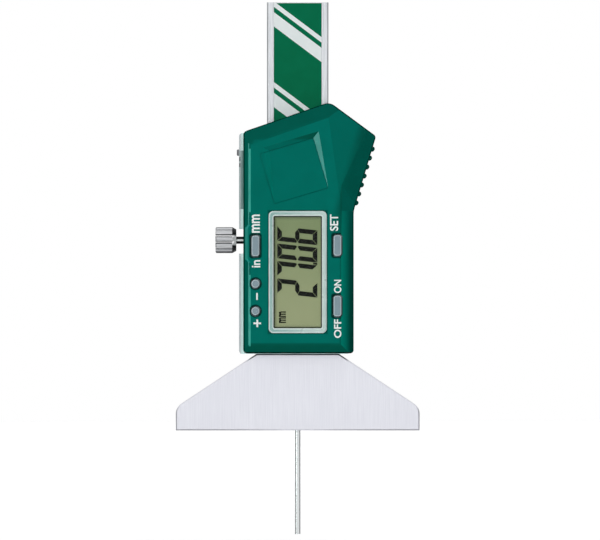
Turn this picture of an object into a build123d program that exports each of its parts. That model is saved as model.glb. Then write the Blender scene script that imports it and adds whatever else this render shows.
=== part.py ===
"""Pin type digital depth caliper.

Millimetres. X runs to the right seen from the front, the display faces -Y and Z runs up the beam.
The origin is the centre of the foot's datum face, on the axis of the depth rod.
The reading is how far the rod stands out below the datum face.
"""

from build123d import *
from math import cos, radians, sin
import os

os.makedirs("parts", exist_ok=True)

# Clearances
slide_gap = 0.05  # beam in its channel, on each face
running_gap = 0.05  # screws, pins and shafts in their holes, radial
fit_gap = 0.10  # trim, panels and boards in their pockets
cover_gap = 0.10  # battery cover in its recess, on each side
contact_gap = 0.02  # spring contacts to what they press on
overrun = 2.0  # how far a cutter passes the face that it opens

# Beam, rod and scale
reading = 27.06
measuring_range = 50.0
beam_width = 16.0
beam_thickness = 3.5
beam_top = 111.4
beam_low = 27.0
beam_edge = 0.3
groove_width = 12.5
groove_depth = 0.6
strip_thickness = 0.35
strip_end_inset = 0.2
film_thickness = 0.15
rod_diameter = 1.5
rod_seat_depth = 10.0
rod_tip = 0.15
rod_screw_diameter = 1.6
rod_screw_first = 3.0
rod_screw_pitch = 4.5
rod_screw_count = 2
stop_head_diameter = 3.4
stop_head_height = 1.2
stop_shank_diameter = 2.0
stop_shank_length = 2.2
stop_clearance = 0.3

# Foot
foot_width = 63.4
foot_top_width = 21.4
foot_height = 19.9
foot_side_height = 6.0
foot_shoulder_radius = 3.0
foot_front = 3.5
foot_edge = 0.3
foot_floor = 3.0
foot_slot_gap = 0.15

# Slider frame
frame_left = 15.26
frame_right = 13.2
frame_front = 3.0
frame_top = 77.4
frame_corner = 0.9
bridge_height = 4.1
window_top = 74.0
seat_left = 13.0
relief_low = 57.8
relief_high = 68.2
relief_depth = 0.4
notch_low = 46.0
notch_high = 52.4
notch_depth = 1.6

# Gib and the screws in the frame's edge
gib_thickness = 1.2
gib_height = 3.2
gib_end_gap = 0.4
gib_screw_low = 28.1
gib_screw_high = 69.8
gib_screw_diameter = 2.0
gib_screw_sink = 0.35
slot_width = 0.4
slot_depth = 0.5
retainer_level = 72.3
retainer_head_diameter = 1.7
retainer_head_height = 0.6
retainer_shank_diameter = 1.0
retainer_shank_length = 4.6

# Back plate, and the countersunk screws driven from its face
plate_thickness = 2.1
plate_inset = 0.3
plate_edge = 0.25
tab_inset = 0.8
tab_width = 26.4
tab_low = 5.6
foot_screw_diameter = 2.0
foot_screw_head = 3.6
foot_screw_length = 5.2
foot_screw_spacing = 21.6
foot_screw_level = 11.3
housing_screw_diameter = 1.6
housing_screw_head = 2.9
housing_screw_length = 10.4
housing_screw_low = 22.1
housing_screw_high = 75.35
screw_column_left = 11.8
screw_column_right = 10.6

# Housing outline, before its corners are rounded
front_face = 11.3
housing_left = 14.15
housing_right = 14.55
housing_low = 20.05
shoulder_height = 77.7
crest_x = 8.32
crest_height = 85.45
thumb_x = 20.4
thumb_height = 76.55
neck_height = 57.05
corner_radius = 0.9
shoulder_radius = 1.3
crest_radius = 3.0
thumb_radius = 1.0
neck_radius = 6.0
back_edge = 0.5
beam_passage = 0.35
lip_gap = 0.25

# Housing bevels: width on the front face, drop down the side
left_bevel = 1.6
left_drop = 1.4
foot_bevel = 2.4
foot_drop = 2.0
shoulder_bevel = 3.7
shoulder_drop = 2.6
side_bevel = 3.3
side_drop = 3.0
thumb_bevel = 5.2
thumb_drop = 3.4
crest_bevel = 0.8
crest_drop = 0.6
facet_low_x = 11.0
facet_low = 59.9
facet_high_x = 8.1
facet_high = 80.5
facet_drop = 2.0
boss_low = 44.6
boss_high = 52.6
boss_ramp = 3.2
boss_rim = 0.6
boss_edge_drop = 0.3
boss_edge_taper = 56
front_round = 1.5
wall_draft = 3.5

# Thumb ribs
rib_count = 7
rib_radius = 0.62
rib_neck_inset = 2.15
rib_thumb_inset = 3.35
rib_front_inset = 0.8
rib_back_inset = 1.4

# Housing inside
front_wall = 1.7
side_wall = 1.2
pocket_below = 1.85
pocket_above = 3.25

# Display
bezel_width = 15.05
bezel_height = 31.6
bezel_level = 41.2
bezel_band = 1.25
bezel_corner = 1.2
window_corner = 0.4
bezel_stand = 0.35
bezel_depth = 1.0
bezel_edge = 0.35
window_web = 0.5
lens_thickness = 0.8
lens_sink = 0.1
lcd_margin = 0.6
lcd_thickness = 1.9
connector_width = 1.8
connector_inset = 1.2

# Main board
board_gap = 0.15
board_thickness = 1.0
board_edge_gap = 0.2
board_right = 12.6
chip_size = 7.0
chip_thickness = 1.2
chip_level = 42.0
crystal_length = 6.0
crystal_diameter = 2.0
crystal_level = 31.5
small_part_length = 2.0
small_part_width = 1.25
small_part_height = 0.6
small_part_pitch = 3.0
small_part_count = 4
small_part_level = 52.0
switch_size = 3.0
switch_height = 1.5
actuator_size = 1.2
actuator_height = 0.3

# Buttons
button_travel = 0.35
button_stand = 0.2
button_gap = 0.32
button_flange = 0.5
button_flange_thickness = 0.6
button_stem_size = 1.3
button_crown = 0.25
button_corner = 0.65
button_width = 2.0
button_length = 5.3
round_button_diameter = 2.1
left_button_x = -10.95
right_button_x = 10.3
units_level = 48.0
minus_level = 38.2
plus_level = 31.1
set_level = 48.1
power_level = 32.4

# Battery, its bay and its contacts
battery_diameter = 11.6
battery_thickness = 5.4
battery_cap_diameter = 8.6
battery_cap_height = 0.3
battery_gap = 0.2
bay_x = -1.0
bay_level = 67.4
bay_tilt = 16.5
bay_floor_gap = 0.45
cover_width = 14.6
cover_height = 13.6
cover_thickness = 1.6
cover_corner = 0.5
dip_depth = 0.85
dip_inset = 2.7
dip_left_flare = 1.3
dip_right_flare = 1.8
dip_top_flare = 1.25
contact_thickness = 0.25
contact_width = 2.4
contact_run = 1.8
contact_dome = 0.7
contact_low = 58.4
side_contact_reach = 4.4
side_contact_foot = 1.3

# Lock screw
lock_level = 49.5
lock_thread_diameter = 2.0
lock_neck_diameter = 1.9
lock_tip_gap = 0.1
knob_outer = 21.4
knob_inner = 16.0
knob_diameter = 6.76
knob_chamfer = 1.0
knob_chamfer_drop = 0.55
knob_rim = 0.25
flute_count = 12
flute_width = 0.6
flute_depth = 0.25
flute_first = 20.8

# Depths from front to back that follow from the sizes above
beam_front = -beam_thickness / 2
beam_back = beam_thickness / 2
channel_front = beam_front - slide_gap
channel_back = beam_back + slide_gap
plate_back = channel_back + plate_thickness
groove_floor = beam_front + groove_depth
board_back = beam_front - board_gap
board_front = board_back - board_thickness
inner_front = -front_face + front_wall
bezel_seat = -front_face + bezel_depth
lcd_front = bezel_seat + window_web
lcd_back = lcd_front + lcd_thickness
switch_front = board_front - switch_height - actuator_height
stem_tip = switch_front - button_travel - slide_gap
cover_seat = -front_face + cover_thickness
battery_front = cover_seat + fit_gap
battery_back = battery_front + battery_thickness
bay_floor = battery_back + bay_floor_gap

# Widths and heights that follow from the sizes above
channel_half = beam_width / 2 + slide_gap
gib_left = -channel_half - gib_thickness
wall_inner = gib_left - slide_gap
window_low = foot_height + bridge_height
pocket_left = -housing_left + side_wall
pocket_right = right_button_x + switch_size / 2 + fit_gap
window_width = bezel_width - 2 * bezel_band
window_height = bezel_height - 2 * bezel_band
lcd_width = window_width + 2 * lcd_margin
lcd_height = window_height + 2 * lcd_margin
pocket_low = bezel_level - lcd_height / 2 - pocket_below
pocket_high = bezel_level + lcd_height / 2 + pocket_above
stop_level = frame_top + measuring_range - reading + stop_clearance + stop_head_diameter / 2
tilt = radians(bay_tilt)

button_places = {
    "button_units": (left_button_x, units_level, button_length),
    "button_minus": (left_button_x, minus_level, None),
    "button_plus": (left_button_x, plus_level, None),
    "button_set": (right_button_x, set_level, button_length),
    "button_power": (right_button_x, power_level, button_length),
}
rod_screw_levels = [
    beam_low + rod_screw_first + place * rod_screw_pitch for place in range(rod_screw_count)
]
foot_screw_places = [(side * foot_screw_spacing / 2, foot_screw_level) for side in (-1, 1)]
housing_screw_places = [
    (-screw_column_left, housing_screw_low),
    (screw_column_right, housing_screw_high),
]
upward = (Align.CENTER, Align.CENTER, Align.MIN)


def front_plane(y, x=0, z=0, turn=0):
    """An upright plane at depth y that faces the front, turned anticlockwise by an angle in radians."""
    return Plane(origin=(x, y, z), x_dir=(cos(turn), 0, sin(turn)), z_dir=(0, -1, 0))


def block(low, high, mode=Mode.ADD):
    """A box between two opposite corners."""
    size = [b - a for a, b in zip(low, high)]
    with Locations(low):
        Box(*size, align=(Align.MIN, Align.MIN, Align.MIN), mode=mode)


def bar(start, axis, radius, length, mode=Mode.ADD):
    """A round bar, or a round hole, from a start point along an axis."""
    with Locations(Plane(origin=start, z_dir=axis)):
        Cylinder(radius, length, align=upward, mode=mode)


def plate_screw(x, z, diameter, head, length, gap=0, mode=Mode.ADD):
    """A countersunk screw driven from the back plate's face, or the hole for it."""
    with Locations(Plane(origin=(x, plate_back, z), z_dir=(0, -1, 0))):
        Cone(head / 2 + gap, diameter / 2 + gap, (head - diameter) / 2, align=upward, mode=mode)
        Cylinder(diameter / 2 + gap, length + gap, align=upward, mode=mode)


def plate_screw_set(name, places, diameter, head, length):
    """All the countersunk screws of one size, with crossed driver slots."""
    with BuildPart() as screws:
        for x, z in places:
            plate_screw(x, z, diameter, head, length)
            with Locations((x, plate_back, z)):
                Box(head - diameter, slot_depth, slot_width, mode=Mode.SUBTRACT)
                Box(slot_width, slot_depth, head - diameter, mode=Mode.SUBTRACT)
    finish(screws.part, name)


def finish(piece, name):
    """Labels a finished piece and writes its file."""
    piece.label = name
    export_step(piece, f"parts/{name}.step")


# Beam with its groove, the seat for the rod and the tapped holes in its back
with BuildPart() as beam:
    block((-beam_width / 2, beam_front, beam_low), (beam_width / 2, beam_back, beam_top))
    chamfer(beam.edges().filter_by(Axis.Z), beam_edge)
    block(
        (-groove_width / 2, beam_front - overrun, beam_low - overrun),
        (groove_width / 2, groove_floor, beam_top + overrun),
        mode=Mode.SUBTRACT,
    )
    bar(
        (0, 0, beam_low - overrun),
        (0, 0, 1),
        rod_diameter / 2 + running_gap,
        rod_seat_depth + overrun,
        mode=Mode.SUBTRACT,
    )
    for level in rod_screw_levels:
        bar(
            (0, 0, level),
            (0, 1, 0),
            rod_screw_diameter / 2 + running_gap,
            beam_thickness,
            mode=Mode.SUBTRACT,
        )
    bar(
        (0, beam_back + overrun, stop_level),
        (0, -1, 0),
        stop_shank_diameter / 2 + running_gap,
        stop_shank_length + overrun,
        mode=Mode.SUBTRACT,
    )
finish(beam.part, "beam")

# Grating board glued in the groove, and the printed film over it
strip_half = groove_width / 2 - slide_gap
strip_front = groove_floor - strip_thickness
with BuildPart() as scale_strip:
    block(
        (-strip_half, strip_front, beam_low + strip_end_inset),
        (strip_half, groove_floor, beam_top - strip_end_inset),
    )
finish(scale_strip.part, "scale_strip")

with BuildPart() as scale_cover:
    block(
        (-strip_half, strip_front - film_thickness, beam_low + strip_end_inset),
        (strip_half, strip_front, beam_top - strip_end_inset),
    )
finish(scale_cover.part, "scale_cover")

# Depth rod, from its seat in the beam down to the tip
with BuildPart() as depth_rod:
    bar(
        (0, 0, -reading),
        (0, 0, 1),
        rod_diameter / 2,
        reading + beam_low + rod_seat_depth,
    )
    chamfer(depth_rod.edges().sort_by(Axis.Z)[0], rod_tip)
finish(depth_rod.part, "depth_rod")

with BuildPart() as rod_set_screws:
    screw_foot = rod_diameter / 2
    for level in rod_screw_levels:
        bar((0, screw_foot, level), (0, 1, 0), rod_screw_diameter / 2, beam_back - screw_foot)
        with Locations((0, beam_back, level)):
            Box(rod_screw_diameter, slot_depth, slot_width, mode=Mode.SUBTRACT)
finish(rod_set_screws.part, "rod_set_screws")

# Pan head screw that keeps the slider from running off the beam's top
with BuildPart() as travel_stop:
    bar((0, beam_back, stop_level), (0, 1, 0), stop_head_diameter / 2, stop_head_height)
    chamfer(travel_stop.edges().sort_by(Axis.Y)[-1], stop_head_height / 3)
    bar((0, beam_back, stop_level), (0, -1, 0), stop_shank_diameter / 2, stop_shank_length)
    with Locations((0, beam_back + stop_head_height, stop_level)):
        Box(stop_head_diameter, slot_depth * 2, slot_width, mode=Mode.SUBTRACT)
finish(travel_stop.part, "travel_stop")


# Foot: a ground block with a long datum face, slotted for the beam and pocketed for the plate's tab
def tab_outline(gap=0):
    """The back plate's tab over the foot, with its sides cut back along the foot's slopes."""
    slope = (foot_height - foot_side_height) / ((foot_width - foot_top_width) / 2)
    top_half = foot_top_width / 2 - tab_inset + gap
    side_half = tab_width / 2 + gap
    side_top = foot_height - (side_half - top_half) * slope
    return [
        (-top_half, foot_height),
        (-side_half, side_top),
        (-side_half, tab_low - gap),
        (side_half, tab_low - gap),
        (side_half, side_top),
        (top_half, foot_height),
    ]


with BuildPart() as foot:
    with BuildSketch(front_plane(plate_back)) as foot_face:
        with BuildLine():
            Polyline(
                (-foot_width / 2, 0),
                (-foot_width / 2, foot_side_height),
                (-foot_top_width / 2, foot_height),
                (foot_top_width / 2, foot_height),
                (foot_width / 2, foot_side_height),
                (foot_width / 2, 0),
                close=True,
            )
        make_face()
        fillet(foot_face.vertices().group_by(Axis.Y)[1], foot_shoulder_radius)
    extrude(amount=plate_back + foot_front)
    for face in (foot.faces().sort_by(Axis.Y)[0], foot.faces().sort_by(Axis.Y)[-1]):
        chamfer(face.edges(), foot_edge)
    with BuildSketch(front_plane(plate_back + overrun)):
        with BuildLine():
            Polyline(*tab_outline(fit_gap), close=True)
        make_face()
    extrude(amount=plate_thickness + overrun, mode=Mode.SUBTRACT)
    slot_half = channel_half + foot_slot_gap
    block(
        (-slot_half, channel_front - foot_slot_gap, foot_floor),
        (slot_half, channel_back, foot_height + overrun),
        mode=Mode.SUBTRACT,
    )
    bar(
        (0, 0, -overrun),
        (0, 0, 1),
        rod_diameter / 2 + running_gap,
        foot_floor + 2 * overrun,
        mode=Mode.SUBTRACT,
    )
    for x, z in foot_screw_places:
        plate_screw(
            x, z, foot_screw_diameter, foot_screw_head, foot_screw_length, running_gap, Mode.SUBTRACT
        )
finish(foot.part, "foot")

# Slider frame: a steel channel round the beam, open in front where the board reads the scale
with BuildPart() as slider_frame:
    with BuildSketch(front_plane(channel_back)) as frame_face:
        with BuildLine():
            Polyline(
                (-frame_left, foot_height),
                (-frame_left, frame_top),
                (frame_right, frame_top),
                (frame_right, foot_height),
                close=True,
            )
        make_face()
        fillet(frame_face.vertices().group_by(Axis.X)[0], frame_corner)
    extrude(amount=channel_back + frame_front)
    block(
        (wall_inner, channel_front, foot_height - overrun),
        (channel_half, channel_back + overrun, frame_top + overrun),
        mode=Mode.SUBTRACT,
    )
    block(
        (wall_inner, -frame_front - overrun, window_low),
        (channel_half, channel_back, window_top),
        mode=Mode.SUBTRACT,
    )
    block(
        (-seat_left, -frame_front - overrun, window_low),
        (frame_right + overrun, board_back, window_top),
        mode=Mode.SUBTRACT,
    )
    block(
        (-frame_left - overrun, -frame_front - overrun, notch_low),
        (-frame_left + notch_depth, channel_back + overrun, notch_high),
        mode=Mode.SUBTRACT,
    )
    block(
        (-frame_left - overrun, -frame_front - overrun, relief_low),
        (-housing_left, -frame_front + relief_depth, relief_high),
        mode=Mode.SUBTRACT,
    )
    edge_holes = [
        (gib_screw_low, gib_screw_diameter, frame_left),
        (gib_screw_high, gib_screw_diameter, frame_left),
        (lock_level, lock_thread_diameter, frame_left),
        (retainer_level, retainer_shank_diameter, retainer_shank_length),
    ]
    for level, diameter, depth in edge_holes:
        bar(
            (-frame_left - overrun, 0, level),
            (1, 0, 0),
            diameter / 2 + running_gap,
            depth + overrun,
            mode=Mode.SUBTRACT,
        )
    for x, z in housing_screw_places:
        bar(
            (x, channel_back + overrun, z),
            (0, -1, 0),
            housing_screw_diameter / 2 + running_gap,
            frame_front + channel_back + 2 * overrun,
            mode=Mode.SUBTRACT,
        )
finish(slider_frame.part, "slider_frame")

# Back plate: closes the channel and reaches down over the foot, which it carries
with BuildPart() as back_plate:
    with BuildSketch(front_plane(plate_back)):
        with BuildLine():
            Polyline(
                *tab_outline(),
                (frame_right - plate_inset, foot_height),
                (frame_right - plate_inset, frame_top - plate_inset),
                (-frame_left + plate_inset, frame_top - plate_inset),
                (-frame_left + plate_inset, foot_height),
                close=True,
            )
        make_face()
    extrude(amount=plate_thickness)
    chamfer(back_plate.faces().sort_by(Axis.Y)[-1].edges(), plate_edge)
    block(
        (-frame_left - overrun, channel_back - overrun, notch_low),
        (-frame_left + notch_depth, plate_back + overrun, notch_high),
        mode=Mode.SUBTRACT,
    )
    for x, z in foot_screw_places:
        plate_screw(
            x, z, foot_screw_diameter, foot_screw_head, foot_screw_length, running_gap, Mode.SUBTRACT
        )
    for x, z in housing_screw_places:
        plate_screw(
            x,
            z,
            housing_screw_diameter,
            housing_screw_head,
            housing_screw_length,
            running_gap,
            Mode.SUBTRACT,
        )
finish(back_plate.part, "back_plate")

plate_screw_set(
    "foot_screws", foot_screw_places, foot_screw_diameter, foot_screw_head, foot_screw_length
)
plate_screw_set(
    "housing_screws",
    housing_screw_places,
    housing_screw_diameter,
    housing_screw_head,
    housing_screw_length,
)

# Gib strip between the frame's wall and the beam's edge, with the screws that press on it
with BuildPart() as gib_strip:
    block(
        (gib_left, -gib_height / 2, foot_height + gib_end_gap),
        (-channel_half, gib_height / 2, frame_top - gib_end_gap),
    )
finish(gib_strip.part, "gib_strip")

with BuildPart() as gib_screws:
    for level in (gib_screw_low, gib_screw_high):
        screw_end = -frame_left + gib_screw_sink
        bar((screw_end, 0, level), (1, 0, 0), gib_screw_diameter / 2, gib_left - screw_end)
        with Locations((screw_end, 0, level)):
            Box(2 * slot_depth, gib_screw_diameter, slot_width, mode=Mode.SUBTRACT)
finish(gib_screws.part, "gib_screws")

with BuildPart() as gib_retainer:
    bar(
        (-frame_left, 0, retainer_level),
        (-1, 0, 0),
        retainer_head_diameter / 2,
        retainer_head_height,
    )
    chamfer(gib_retainer.edges().sort_by(Axis.X)[0], retainer_head_height / 3)
    bar(
        (-frame_left, 0, retainer_level),
        (1, 0, 0),
        retainer_shank_diameter / 2,
        retainer_shank_length,
    )
finish(gib_retainer.part, "gib_retainer")


# Housing, one moulding: bevelled front, thumb wing with ribs, display window and tilted battery bay
housing_corners = [
    (-housing_left, housing_low, corner_radius),
    (-housing_left, shoulder_height, shoulder_radius),
    (crest_x, crest_height, crest_radius),
    (thumb_x, thumb_height, thumb_radius),
    (housing_right, neck_height, neck_radius),
    (housing_right, housing_low, corner_radius),
]


def draw_housing_outline(sketch, rounded=True):
    """Draws the housing's outline in an open sketch, with sharp or rounded corners."""
    with BuildLine() as outline:
        Polyline(*[(x, z) for x, z, radius in housing_corners], close=True)
    make_face(outline.edges())
    if rounded:
        for x, z, radius in housing_corners:
            fillet(sketch.vertices().sort_by_distance((x, z))[0], radius)


def edge_nearest(part, place):
    """The edge of a part or face whose middle is nearest to a place."""
    return min(part.edges(), key=lambda e: (e.center() - Vector(*place)).length)


def front_edges_near(part, places):
    """The front face's edges whose middles are nearest to the given places."""
    front = part.faces().sort_by(Axis.Y)[0]
    return [edge_nearest(front, place) for place in places]


def plane_through(a, b, c):
    """The plane through three points, facing the side that sees them anticlockwise."""
    a, b, c = Vector(*a), Vector(*b), Vector(*c)
    return Plane(origin=a, x_dir=b - a, z_dir=(b - a).cross(c - a))


def bevel_plane(start, end, width, drop):
    """The plane that bevels the front face between two of the outline's corners, taken clockwise."""
    (x, z), (next_x, next_z) = start, end
    run = Vector(next_x - x, 0, next_z - z).normalized()
    return plane_through(
        (x, -front_face + drop, z),
        (next_x, -front_face + drop, next_z),
        (x + run.Z * width, -front_face, z - run.X * width),
    )


def bay_point(u, v, y):
    """A point from the battery bay's own sideways and upward places and a depth."""
    return (
        bay_x + u * cos(tilt) - v * sin(tilt),
        y,
        bay_level + u * sin(tilt) + v * cos(tilt),
    )


cover_half = cover_width / 2
cover_side = cover_height / 2
dip_low_left = bay_point(-cover_half, -cover_side, -front_face)
dip_low_right = bay_point(cover_half, -cover_side, -front_face)
dip_left = -cover_half + dip_inset
dip_rim = cover_side + dip_top_flare
dip_high_left = bay_point(dip_left, cover_side, -front_face + dip_depth)
dip_high_right = bay_point(cover_half, cover_side, -front_face + dip_depth)
rim_high_left = bay_point(dip_left - dip_left_flare, dip_rim, -front_face)
rim_high_right = bay_point(cover_half + dip_right_flare, dip_rim, -front_face)
dip_floor = plane_through(dip_low_left, dip_low_right, dip_high_right)

# The dip over the cover's upper end, which lets a nail reach it
with BuildPart() as dip:
    with BuildSketch(front_plane(-front_face + dip_depth, bay_x, bay_level, tilt)):
        Rectangle(cover_width + 2 * dip_right_flare, cover_height + 2 * dip_top_flare)
    extrude(amount=dip_depth)
    split(bisect_by=dip_floor, keep=Keep.TOP)
    split(
        bisect_by=plane_through(dip_high_left, dip_high_right, rim_high_right),
        keep=Keep.TOP,
    )
    split(bisect_by=plane_through(dip_low_right, rim_high_right, dip_high_right), keep=Keep.TOP)
    split(bisect_by=plane_through(dip_low_left, dip_high_left, rim_high_left), keep=Keep.TOP)

rear_left = frame_right + fit_gap
rear_low = frame_top + fit_gap
crown_left = beam_width / 2 + beam_passage
lip_back = channel_front - lip_gap
edge_slope = (thumb_x - housing_right) / (thumb_height - neck_height)

with BuildPart() as housing:
    with BuildSketch(front_plane(-frame_front)) as sharp_outline:
        draw_housing_outline(sharp_outline, rounded=False)
    extrude(amount=front_face - frame_front)
    middle_low = (0, -front_face, housing_low)
    middle_left = (-housing_left, -front_face, (housing_low + shoulder_height) / 2)
    middle_shoulder = (
        (crest_x - housing_left) / 2,
        -front_face,
        (crest_height + shoulder_height) / 2,
    )
    middle_thumb = ((thumb_x + housing_right) / 2, -front_face, (thumb_height + neck_height) / 2)
    middle_side = (housing_right, -front_face, (neck_height + housing_low) / 2)
    bevels = (
        (middle_side, side_bevel, side_drop),
        (middle_thumb, thumb_bevel, thumb_drop),
        (middle_low, foot_bevel, foot_drop),
        (middle_left, left_bevel, left_drop),
    )
    for place, width, drop in bevels:
        front = housing.faces().sort_by(Axis.Y)[0]
        chamfer(front_edges_near(housing, [place]), width, drop, reference=front)
    # The top bevels are planes right across, which hold for any height of the thumb wing
    shoulder_corner = (-housing_left, shoulder_height)
    crest_corner = (crest_x, crest_height)
    thumb_corner = (thumb_x, thumb_height)
    for start, end, width, drop in (
        (shoulder_corner, crest_corner, shoulder_bevel, shoulder_drop),
        (crest_corner, thumb_corner, crest_bevel, crest_drop),
    ):
        split(bisect_by=bevel_plane(start, end, width, drop), keep=Keep.TOP)
    soft_places = (middle_side, middle_shoulder, middle_low, middle_left)
    fillet(front_edges_near(housing, soft_places), front_round)
    facet = plane_through(
        (facet_high_x, -front_face, facet_high),
        (facet_low_x, -front_face, facet_low),
        (thumb_x, -front_face + facet_drop, thumb_height),
    )
    split(bisect_by=facet, keep=Keep.BOTTOM)
    crease = -housing_left + left_bevel + front_round
    for depth, height, taper in (
        (left_drop, left_drop - boss_edge_drop, 0),
        (boss_edge_drop, boss_edge_drop, boss_edge_taper),
    ):
        with BuildSketch(front_plane(-front_face + depth)):
            with BuildLine():
                Polyline(
                    (crease, boss_low - boss_ramp),
                    (-housing_left + boss_rim, boss_low),
                    (-housing_left + boss_rim, boss_high),
                    (crease, boss_high + boss_ramp),
                    close=True,
                )
            make_face()
        extrude(amount=height, taper=taper)
    with BuildSketch(front_plane(-frame_front)) as round_outline:
        draw_housing_outline(round_outline)
    extrude(amount=front_face - frame_front, taper=wall_draft, mode=Mode.INTERSECT)

    for back, left, low in (
        (plate_back, rear_left, 0),
        (plate_back, crown_left, rear_low),
        (lip_back, -housing_left, rear_low),
    ):
        with BuildSketch(front_plane(back)) as rear_part:
            draw_housing_outline(rear_part)
            with Locations((left, low)):
                Rectangle(
                    thumb_x - left,
                    crest_height - low,
                    align=(Align.MIN, Align.MIN),
                    mode=Mode.INTERSECT,
                )
        extrude(amount=back + frame_front)
    rear_edges = housing.faces().sort_by(Axis.Y)[-1].edges()
    chamfer(
        [
            edge
            for edge in rear_edges
            if edge.center().X > rear_left + fit_gap or edge.center().Z > rear_low + fit_gap
        ],
        back_edge,
    )

    rib_front = -front_face + thumb_drop + rib_front_inset
    rib_low = neck_height + rib_neck_inset
    rib_step = (thumb_height - rib_thumb_inset - rib_low) / (rib_count - 1)
    for rib in range(rib_count):
        level = rib_low + rib * rib_step
        edge_x = housing_right + (level - neck_height) * edge_slope
        bar((edge_x, rib_front, level), (0, 1, 0), rib_radius, plate_back - rib_back_inset - rib_front)

    block(
        (pocket_left, inner_front, pocket_low),
        (pocket_right, -frame_front + overrun, pocket_high),
        mode=Mode.SUBTRACT,
    )
    with BuildSketch(front_plane(inner_front, 0, bezel_level)):
        Rectangle(lcd_width + 2 * fit_gap, lcd_height + 2 * fit_gap)
    extrude(amount=inner_front - lcd_front, mode=Mode.SUBTRACT)
    with BuildSketch(front_plane(inner_front, 0, bezel_level)):
        Rectangle(window_width, window_height)
    extrude(amount=front_wall + overrun, mode=Mode.SUBTRACT)
    with BuildSketch(front_plane(bezel_seat, 0, bezel_level)):
        RectangleRounded(bezel_width + 2 * fit_gap, bezel_height + 2 * fit_gap, bezel_corner + fit_gap)
    extrude(amount=bezel_depth + overrun, mode=Mode.SUBTRACT)

    for x, level, length in button_places.values():
        with BuildSketch(front_plane(inner_front + overrun, x, level)):
            if length:
                RectangleRounded(
                    button_width + 2 * button_gap,
                    length + 2 * button_gap,
                    button_corner + button_gap,
                )
            else:
                Circle(round_button_diameter / 2 + button_gap)
        extrude(amount=front_wall + 2 * overrun, mode=Mode.SUBTRACT)

    bar(
        (bay_x, -front_face - overrun, bay_level),
        (0, 1, 0),
        battery_diameter / 2 + battery_gap,
        front_face + overrun + bay_floor,
        mode=Mode.SUBTRACT,
    )
    with BuildSketch(front_plane(cover_seat, bay_x, bay_level, tilt)):
        RectangleRounded(cover_width, cover_height, cover_corner)
    extrude(amount=cover_thickness + overrun, mode=Mode.SUBTRACT)
    add(dip.part, mode=Mode.SUBTRACT)

    block(
        (bay_x - contact_width / 2 - fit_gap, bay_floor - bay_floor_gap, pocket_high - overrun),
        (bay_x + contact_width / 2 + fit_gap, -frame_front + overrun, bay_level - contact_run),
        mode=Mode.SUBTRACT,
    )
    side_wall_x = bay_x - battery_diameter / 2 - battery_gap
    block(
        (
            side_wall_x - side_contact_foot - fit_gap,
            battery_back - side_contact_reach - fit_gap,
            bay_level - contact_width / 2 - fit_gap,
        ),
        (bay_x, -frame_front + overrun, bay_level + contact_width / 2 + fit_gap),
        mode=Mode.SUBTRACT,
    )

    for x, z in housing_screw_places:
        bar(
            (x, plate_back, z),
            (0, -1, 0),
            housing_screw_diameter / 2 + running_gap,
            housing_screw_length + running_gap,
            mode=Mode.SUBTRACT,
        )
finish(housing.part, "housing")

# Battery cover: a plate with straight sides that shares the dip with the housing
with BuildPart() as battery_cover:
    with BuildSketch(front_plane(cover_seat, bay_x, bay_level, tilt)):
        RectangleRounded(
            cover_width - 2 * cover_gap, cover_height - 2 * cover_gap, cover_corner - cover_gap
        )
    extrude(amount=cover_thickness)
    add(dip.part, mode=Mode.SUBTRACT)
finish(battery_cover.part, "battery_cover")

# Window: bezel in its recess, clear lens inside it, and the display panel behind
with BuildPart() as bezel:
    with BuildSketch(front_plane(bezel_seat, 0, bezel_level)):
        RectangleRounded(bezel_width, bezel_height, bezel_corner)
        RectangleRounded(window_width, window_height, window_corner, mode=Mode.SUBTRACT)
    extrude(amount=bezel_depth + bezel_stand)
    chamfer(bezel.faces().sort_by(Axis.Y)[0].edges(), bezel_edge)
finish(bezel.part, "bezel")

with BuildPart() as lens:
    with BuildSketch(front_plane(-front_face + lens_sink + lens_thickness, 0, bezel_level)):
        RectangleRounded(
            window_width - 2 * fit_gap, window_height - 2 * fit_gap, window_corner - fit_gap
        )
    extrude(amount=lens_thickness)
finish(lens.part, "lens")

with BuildPart() as lcd_panel:
    with BuildSketch(front_plane(lcd_back, 0, bezel_level)):
        Rectangle(lcd_width, lcd_height)
    extrude(amount=lcd_thickness)
finish(lcd_panel.part, "lcd_panel")

# Conductive rubber strips from the panel's edges down to the board
with BuildPart() as lcd_connectors:
    for side in (-1, 1):
        with Locations((side * (lcd_width - connector_width) / 2, board_front, bezel_level)):
            Box(
                connector_width,
                board_front - lcd_back,
                lcd_height - 2 * connector_inset,
                align=(Align.CENTER, Align.MAX, Align.CENTER),
            )
finish(lcd_connectors.part, "lcd_connectors")

# Main board over the beam, with its chip, crystal, small parts and key switches
with BuildPart() as main_board:
    block(
        (-seat_left + board_edge_gap, board_front, window_low + board_edge_gap),
        (board_right, board_back, window_top - board_edge_gap),
    )
finish(main_board.part, "main_board")

with BuildPart() as controller_chip:
    with Locations((0, board_front, chip_level)):
        Box(chip_size, chip_thickness, chip_size, align=(Align.CENTER, Align.MAX, Align.CENTER))
finish(controller_chip.part, "controller_chip")

with BuildPart() as board_parts:
    crystal_y = board_front - crystal_diameter / 2
    bar((-crystal_length / 2, crystal_y, crystal_level), (1, 0, 0), crystal_diameter / 2, crystal_length)
    for place in range(small_part_count):
        x = (place - (small_part_count - 1) / 2) * small_part_pitch / 2
        with Locations((x, board_front, small_part_level)):
            Box(
                small_part_width,
                small_part_height,
                small_part_length,
                align=(Align.CENTER, Align.MAX, Align.CENTER),
            )
finish(board_parts.part, "board_parts")

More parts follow.
